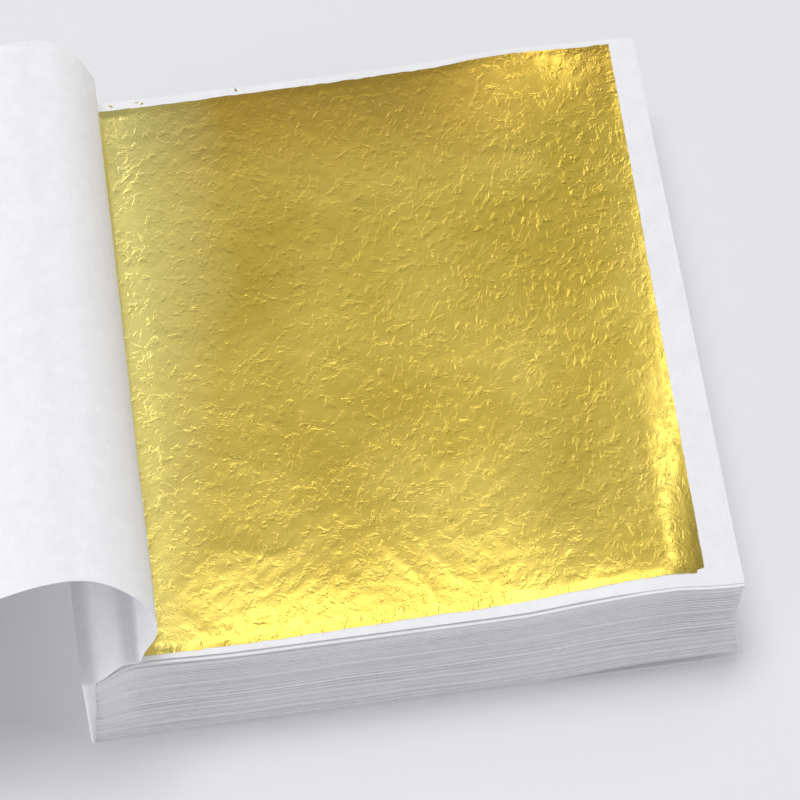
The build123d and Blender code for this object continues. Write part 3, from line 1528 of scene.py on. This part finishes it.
@dataclass(frozen=True)
class FoilFinish:
    """Beaten foil of a gold-coloured brass, with a warmer, darker tone towards the back that is
    partly painted shade, and a painted reflection of the turned sheet as a pale strip at the left.
    """

    name: str
    deep: Colour = (0.63, 0.465, 0.078)
    pale: Colour = (0.74, 0.57, 0.12)

    # A warmer, darker tone towards the back, partly the foil's own tone and partly painted shade, by
    # the distance along the spine from the middle, with a wandering edge
    warm_and_shaded: Colour = (0.64, 0.4, 0.065)
    warm_from: float = 26.0
    warm_to: float = 46.0
    warm_shade_share: float = 0.8
    warm_wander: float = 30.0

    # A painted reflection of the turned sheet: a pale strip by the distance across from the middle,
    # skewed and with a wandering edge
    painted_reflection: Colour = (0.97, 0.86, 0.3)
    reflection_from: float = -29.0
    reflection_to: float = -14.0
    reflection_share: float = 0.85
    reflection_skew: float = -0.15
    reflection_wander: float = 12.0

    rough_tones: Pair = (0.3, 0.7)
    roughness: Pair = (0.165, 0.24)
    crinkle: float = 1.0
    crinkle_height: float = 0.045
    sharpness: float = 1.4

    def build(self) -> bpy.types.Material:
        """Make the material.

        Returns:
            The material.
        """
        tree, shader, place = new_material(self.name)
        crinkle = placed_group(tree, FoilCrinkle().group(), place, "Sharpness", self.sharpness)
        tone = crinkle.outputs["Tone"]
        colour = mixed_colour(tree, ranged(tree, tone, TONES), self.deep, self.pale)
        axes = tree.nodes.new("ShaderNodeSeparateXYZ")
        tree.links.new(place, axes.inputs[0])
        across, along = axes.outputs["X"], axes.outputs["Y"]
        # Painted shade, with some of the foil's own warmer tone: darker and warmer towards the back
        wander = self.warm_wander * MM
        shift = math_node(tree, "MULTIPLY_ADD", tone, wander, along)
        warm_shade_range = (self.warm_from * MM + wander / 2, self.warm_to * MM + wander / 2)
        warmth_and_shade = ranged(tree, shift, warm_shade_range, (0.0, self.warm_shade_share))
        colour = mixed_colour(tree, warmth_and_shade, colour, self.warm_and_shaded)
        # Painted reflection of the turned sheet, mixed in as a pale strip at the left
        beside = math_node(tree, "MULTIPLY_ADD", along, self.reflection_skew, across)
        beside = math_node(tree, "MULTIPLY_ADD", tone, self.reflection_wander * MM, beside)
        reflection_range = (self.reflection_to * MM, self.reflection_from * MM)
        strip = ranged(tree, beside, reflection_range, (0.0, self.reflection_share))
        colour = mixed_colour(tree, strip, colour, self.painted_reflection)
        tree.links.new(colour, shader.inputs["Base Color"])
        rough = ranged(tree, tone, self.rough_tones, self.roughness)
        tree.links.new(rough, shader.inputs["Roughness"])
        shader.inputs["Metallic"].default_value = 1.0
        bumped(tree, shader, crinkle.outputs["Height"], self.crinkle, self.crinkle_height)
        return bpy.data.materials[self.name]


@dataclass(frozen=True)
class GlueFinish:
    """White padding glue, dried to a soft satin, with faint lines along the spine."""

    name: str = "padding_glue"
    thin: Colour = (0.82, 0.81, 0.825)
    thick: Colour = (0.88, 0.875, 0.885)
    roughness: float = 0.42
    coarseness: float = 0.6
    line_scale: float = 312.5
    line_distortion: float = 1.2
    line_share: float = 0.5
    bump: float = 0.5
    bump_height: float = 0.03

    def build(self) -> bpy.types.Material:
        """Make the material.

        Returns:
            The material.
        """
        tree, shader, place = new_material(self.name)
        fibre = placed_group(tree, FibreCloud().group(), place, "Coarseness", self.coarseness)
        cloud = ranged(tree, fibre.outputs["Cloud"], TONES)
        colour = mixed_colour(tree, cloud, self.thin, self.thick)
        tree.links.new(colour, shader.inputs["Base Color"])
        shader.inputs["Roughness"].default_value = self.roughness
        lines = tree.nodes.new("ShaderNodeTexWave")
        lines.bands_direction = "Z"
        lines.inputs["Scale"].default_value = self.line_scale
        lines.inputs["Distortion"].default_value = self.line_distortion
        tree.links.new(place, lines.inputs["Vector"])
        line, cloudy = lines.outputs["Fac"], fibre.outputs["Cloud"]
        height = math_node(tree, "MULTIPLY_ADD", line, self.line_share, cloudy)
        bumped(tree, shader, height, self.bump, self.bump_height)
        return bpy.data.materials[self.name]


@dataclass(frozen=True)
class FloorFinish:
    """A plain pale floor."""

    name: str = "pale_floor"
    colour: Colour = (0.80, 0.80, 0.81)
    roughness: float = 0.8
    shine: float = 0.2

    def build(self) -> bpy.types.Material:
        """Make the material.

        Returns:
            The material.
        """
        shader = new_material(self.name)[1]
        shader.inputs["Base Color"].default_value = (*self.colour, 1.0)
        shader.inputs["Roughness"].default_value = self.roughness
        shader.inputs["Specular IOR Level"].default_value = self.shine
        return bpy.data.materials[self.name]


@dataclass(frozen=True)
class Lamp:
    """A soft lamp. Its places and sizes are in metres and its power is in watts."""

    name: str
    place: tuple[float, float, float]
    size: Pair
    power: float
    aim: tuple[float, float, float] = (0.0, 0.0, 0.0)
    mirrored: bool = True

    def hang(self) -> None:
        """Hang the lamp. The foil mirrors it only where it is a mirrored one."""
        lamp = bpy.data.lights.new(self.name, "AREA")
        lamp.shape = "RECTANGLE"
        lamp.size, lamp.size_y = self.size
        lamp.energy = self.power
        thing = bpy.data.objects.new(self.name, lamp)
        thing.location = self.place
        thing.rotation_mode = "QUATERNION"
        away = Vector(self.aim) - Vector(self.place)
        thing.rotation_quaternion = away.to_track_quat("-Z", "Y")
        thing.visible_camera = False
        thing.visible_glossy = self.mirrored
        bpy.context.scene.collection.objects.link(thing)


@dataclass
class Studio:
    """The floor, the lights and the camera.

    The light over the booklet hangs as two lamps, of which only the weaker one is mirrored,
    because the foil would mirror the whole of it as white. The two hang a little apart.
    """

    # The camera, with the ends of its range in metres
    target: tuple[float, float, float] = (4.14, 2.27, 0.0)
    distance: float = 646.16
    azimuth: float = -6.014
    elevation: float = 58.406
    roll: float = -2.267
    focal_pixels: float = 4600.0
    image_pixels: float = 800.0
    sensor_width: float = 36.0
    nearest: float = 0.01
    furthest: float = 100.0

    # The floor's reach in metres, and the lights
    floor_reach: float = 3.0
    world_colour: Colour = (0.97, 0.98, 1.0)
    world_level: float = 0.4
    lamps: tuple[Lamp, ...] = (
        Lamp("key_lamp", (-0.1, 0.13, 1.4), (0.6, 0.45), 5.9, mirrored=False),
        Lamp("key_gloss", (-0.1, 0.13, 1.37), (0.6, 0.45), 1.8),
        Lamp("front_panel", (-0.02, 0.43, 1.33), (0.7, 0.2), 0.78),
        Lamp("back_panel", (0.05, 0.71, 1.28), (1.6, 0.42), 0.71),
        Lamp("right_lamp", (0.39, 0.68, 1.04), (0.16, 0.26), 0.38),
        Lamp("right_fill", (1.4, -0.3, 0.9), (0.9, 0.9), 6.0),
        Lamp("left_lamp", (-1.3, -0.42, 0.14), (0.8, 0.24), 8.4, aim=(-0.03, 0.0, 0.03)),
    )

    def build(self, floor: bpy.types.Material) -> None:
        """Build the whole studio.

        Args:
            floor: The floor's material.
        """
        self.add_floor(floor)
        self.add_world()
        for lamp in self.lamps:
            lamp.hang()
        self.add_camera()

    def add_floor(self, material: bpy.types.Material) -> None:
        """Lay the floor.

        Args:
            material: Its material.
        """
        mesh = bpy.data.meshes.new("floor")
        side = self.floor_reach
        corners = [(-side, -side, 0), (side, -side, 0), (side, side, 0), (-side, side, 0)]
        mesh.from_pydata(corners, [], [(0, 1, 2, 3)])
        floor = bpy.data.objects.new("floor", mesh)
        bpy.context.scene.collection.objects.link(floor)
        floor.data.materials.append(material)

    def add_world(self) -> None:
        """Light the scene evenly from all round."""
        world = bpy.data.worlds.new("studio")
        world.use_nodes = True
        background = world.node_tree.nodes["Background"]
        background.inputs["Color"].default_value = (*self.world_colour, 1.0)
        background.inputs["Strength"].default_value = self.world_level
        bpy.context.scene.world = world

    def add_camera(self) -> None:
        """Put the camera where the photograph was taken from."""
        turn, rise, roll = (math.radians(a) for a in (self.azimuth, self.elevation, self.roll))
        back = Vector(
            (math.sin(turn) * math.cos(rise), -math.cos(turn) * math.cos(rise), math.sin(rise))
        )
        right = Vector((math.cos(turn), math.sin(turn), 0.0))
        up = back.cross(right)
        tilted_right = right * math.cos(roll) + up * math.sin(roll)
        tilted_up = up * math.cos(roll) - right * math.sin(roll)
        camera = bpy.data.cameras.new("camera")
        camera.sensor_width = self.sensor_width
        camera.lens = self.sensor_width * self.focal_pixels / self.image_pixels
        camera.clip_start, camera.clip_end = self.nearest, self.furthest
        thing = bpy.data.objects.new("camera", camera)
        axes = Matrix((tilted_right, tilted_up, back)).transposed().to_4x4()
        place = (Vector(self.target) + back * self.distance) * MM
        thing.matrix_world = Matrix.Translation(place) @ axes
        bpy.context.scene.collection.objects.link(thing)
        bpy.context.scene.camera = thing


def main() -> None:
    """Build the booklet and its studio."""
    logging.basicConfig(level=logging.INFO, format="%(name)s: %(message)s")
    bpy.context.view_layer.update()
    tissue = TissueFinish().build()
    open_foil = FoilFinish("open_leaf_foil").build()
    bound_foil = FoilFinish("bound_leaf_foil", crinkle=0.35).build()
    glue = GlueFinish().build()
    block = Block()
    pages = PageStack(block)
    pages.build(tissue)
    BoundLeaves(pages).build(bound_foil)
    leaf = OpenLeaf(block)
    leaf.build(open_foil)
    LooseFlecks(block).build(open_foil)
    TurnedSheet(block, leaf).build(tissue)
    SpineGlue(block).build(glue)
    Studio().build(FloorFinish().build())
    bpy.context.scene.view_settings.view_transform = "Standard"


if __name__ == "__main__":
    main()
